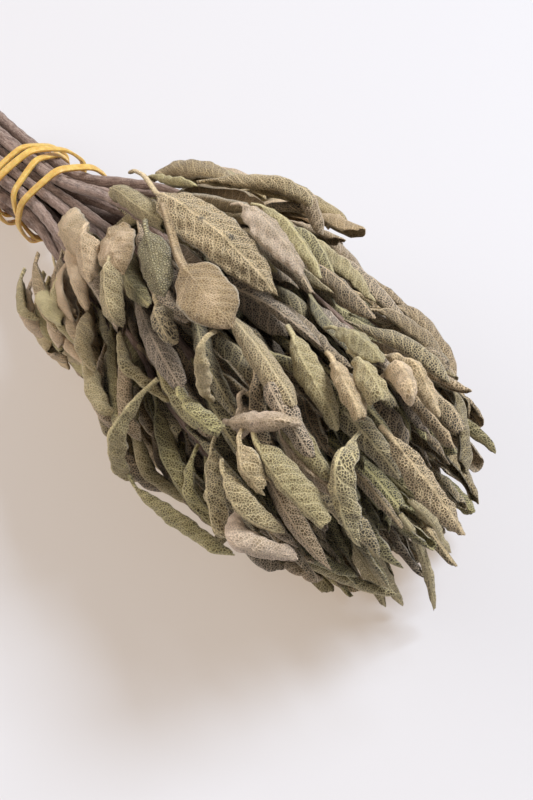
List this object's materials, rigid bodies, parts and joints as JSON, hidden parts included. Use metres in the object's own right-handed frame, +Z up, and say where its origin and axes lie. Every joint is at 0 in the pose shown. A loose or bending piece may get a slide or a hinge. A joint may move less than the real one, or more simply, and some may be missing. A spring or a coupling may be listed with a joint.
{
  "type": "dried sage bunch",
  "caption": "Dried sage bunch lying on its side, a full egg-shaped head of curled leaves on woody stems held by a wound rubber band.",
  "frame": {"origin": "middle of the bunch's footprint, on the surface it lies on", "axes": "+X along the bunch from the cut stems to the leaf tips, +Z up, +Y across the bunch"},
  "size_m": [0.254, 0.1058, 0.0991],
  "materials": {
    "outer_leaf": "dry, finely pebbled and woolly sage leaf, grey green with paler veins",
    "pressed_leaf": "dry sage leaf pressed flat, darker grey green",
    "rubber_band": "smooth amber rubber, slightly translucent",
    "sprig": "dry woolly grey green leaves on mauve grey woody stems"
  },
  "bodies": {
    "root": {"grey_leaf": "outer_leaf", "veined_leaf": "outer_leaf", "brown_leaf": "outer_leaf", "pebbled_leaf": "outer_leaf", "round_leaf": "outer_leaf", "wrinkled_leaf": "outer_leaf", "side_leaf": "outer_leaf", "far_leaf": "outer_leaf", "folded_leaf": "outer_leaf", "ragged_leaf": "outer_leaf", "front_leaf": "outer_leaf", "pointed_leaf": "outer_leaf", "cross_leaf": "outer_leaf", "crescent_leaf": "outer_leaf", "hooked_leaf": "outer_leaf", "rolled_leaf": "outer_leaf", "pair_leaf": "outer_leaf", "high_leaf": "outer_leaf", "rough_leaf": "outer_leaf", "edge_leaf": "outer_leaf", "long_leaf": "outer_leaf", "torn_leaf": "outer_leaf", "bent_leaf": "outer_leaf", "curled_leaf": "outer_leaf", "low_leaf": "outer_leaf", "rim_leaf": "outer_leaf", "tube_leaf": "outer_leaf", "upper_leaf": "outer_leaf", "back_leaf": "outer_leaf", "near_leaf": "outer_leaf", "pressed_leaf_1": "pressed_leaf", "pressed_leaf_2": "pressed_leaf", "pressed_leaf_3": "pressed_leaf", "pressed_leaf_4": "pressed_leaf", "pressed_leaf_5": "pressed_leaf", "rubber_band": "rubber_band", "sprig_01": "sprig", "sprig_02": "sprig", "sprig_03": "sprig", "sprig_04": "sprig", "sprig_05": "sprig", "sprig_06": "sprig", "sprig_07": "sprig", "sprig_08": "sprig", "sprig_09": "sprig", "sprig_10": "sprig", "sprig_11": "sprig", "sprig_12": "sprig", "sprig_13": "sprig", "sprig_14": "sprig", "sprig_15": "sprig", "sprig_16": "sprig", "sprig_17": "sprig", "sprig_18": "sprig", "sprig_19": "sprig", "sprig_20": "sprig", "sprig_21": "sprig", "sprig_22": "sprig", "sprig_23": "sprig", "sprig_24": "sprig"}
  },
  "joints": []
}
